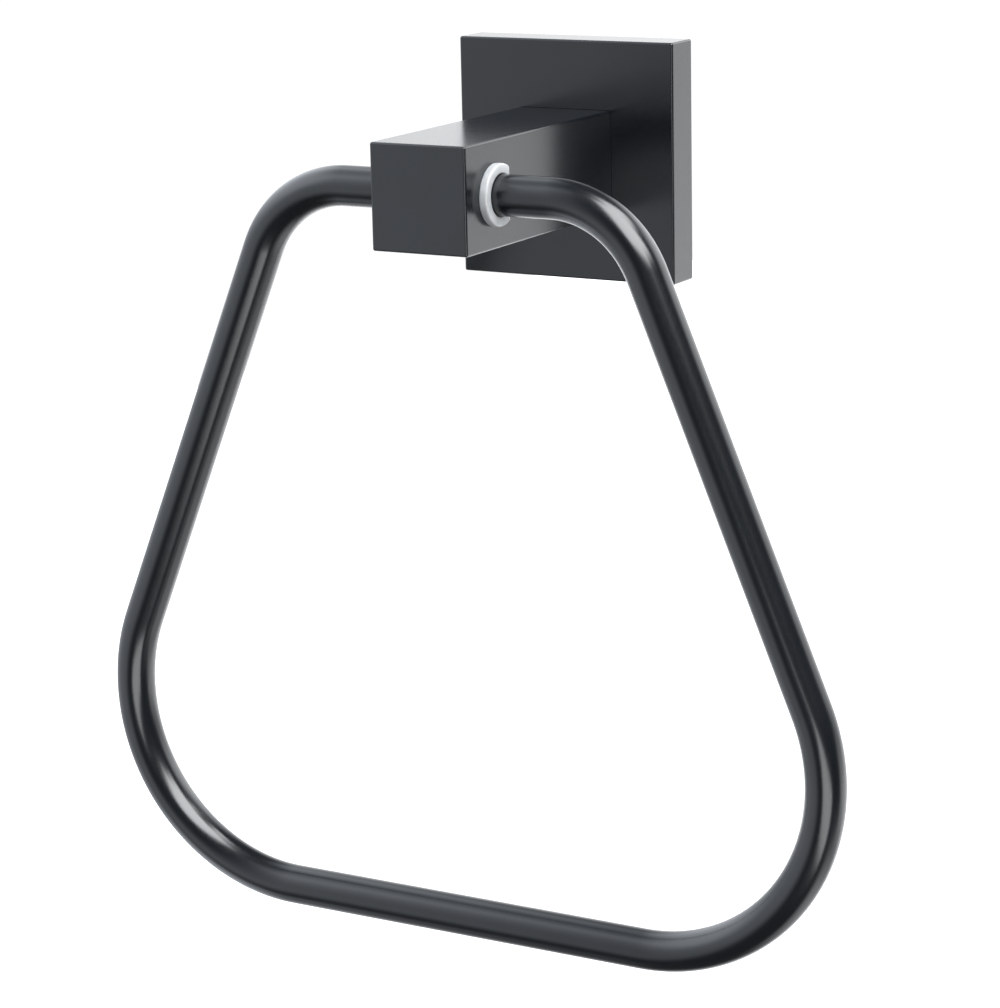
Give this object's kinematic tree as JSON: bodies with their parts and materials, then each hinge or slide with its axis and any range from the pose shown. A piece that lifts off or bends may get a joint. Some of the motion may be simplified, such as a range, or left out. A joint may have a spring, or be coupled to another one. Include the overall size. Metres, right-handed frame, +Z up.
{
  "type": "towel ring",
  "caption": "Wall-mounted towel ring: a round bar bent to a tapered loop swings in flanged bushes in a square post, on a square base plate that hooks over a hidden wall bracket.",
  "frame": {"origin": "centre of the base plate's back, in the plane of the wall, midway between the two wall screw holes", "axes": "+Z up, +X to the right as one faces the wall, +Y into the wall; the post stands out along -Y"},
  "size_m": [0.1648, 0.067, 0.1742],
  "materials": {
    "satin_black": "satin black powder coat",
    "white_nylon": "plain white moulded nylon",
    "zinc_steel": "bright zinc plate",
    "bright_steel": "plain stainless steel"
  },
  "bodies": {
    "mount": {"base_plate": "satin_black", "wall_bracket": "zinc_steel", "set_screw": "bright_steel", "post": "satin_black", "post_screw": "zinc_steel", "spring_washer": "zinc_steel", "bush_left": "white_nylon", "bush_right": "white_nylon"},
    "ring": {"ring": "satin_black"}
  },
  "joints": [
    {"name": "ring_swing", "type": "hinge", "parent": "mount", "child": "ring", "pos_m": [0, -0.0561, 0], "axis": [-1, 0, 0], "range_deg": [-20.8, 200.8]}
  ]
}
